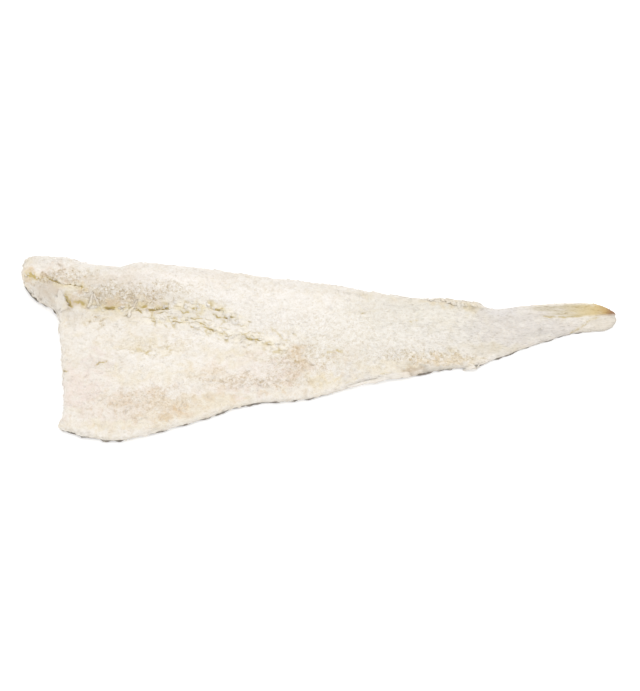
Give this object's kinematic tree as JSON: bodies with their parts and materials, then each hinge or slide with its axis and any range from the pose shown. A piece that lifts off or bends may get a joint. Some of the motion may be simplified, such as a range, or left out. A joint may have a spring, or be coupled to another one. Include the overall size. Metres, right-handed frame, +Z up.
{
  "type": "side of salted dried cod",
  "caption": "Boneless, skin-on side of salted dried cod: a stiff tapering slab with a thick loin, a thin belly flap and a tail end, lying skin down.",
  "frame": {"origin": "middle of the base, on the surface that the fish lies on", "axes": "+X along the fish from the shoulder end to the tail, +Y from the belly flap to the back, +Z up from the skin to the flesh side"},
  "size_m": [0.5614, 0.1892, 0.0284],
  "materials": {
    "salted_flesh": "dull, fibrous, off white with cream and tan patches",
    "fish_skin": "dry, satin, mottled grey brown with fine scale pockets",
    "salt_crust": "white crystals with a slight sparkle"
  },
  "bodies": {
    "root": {"cod_side": "salted_flesh"}
  },
  "joints": []
}
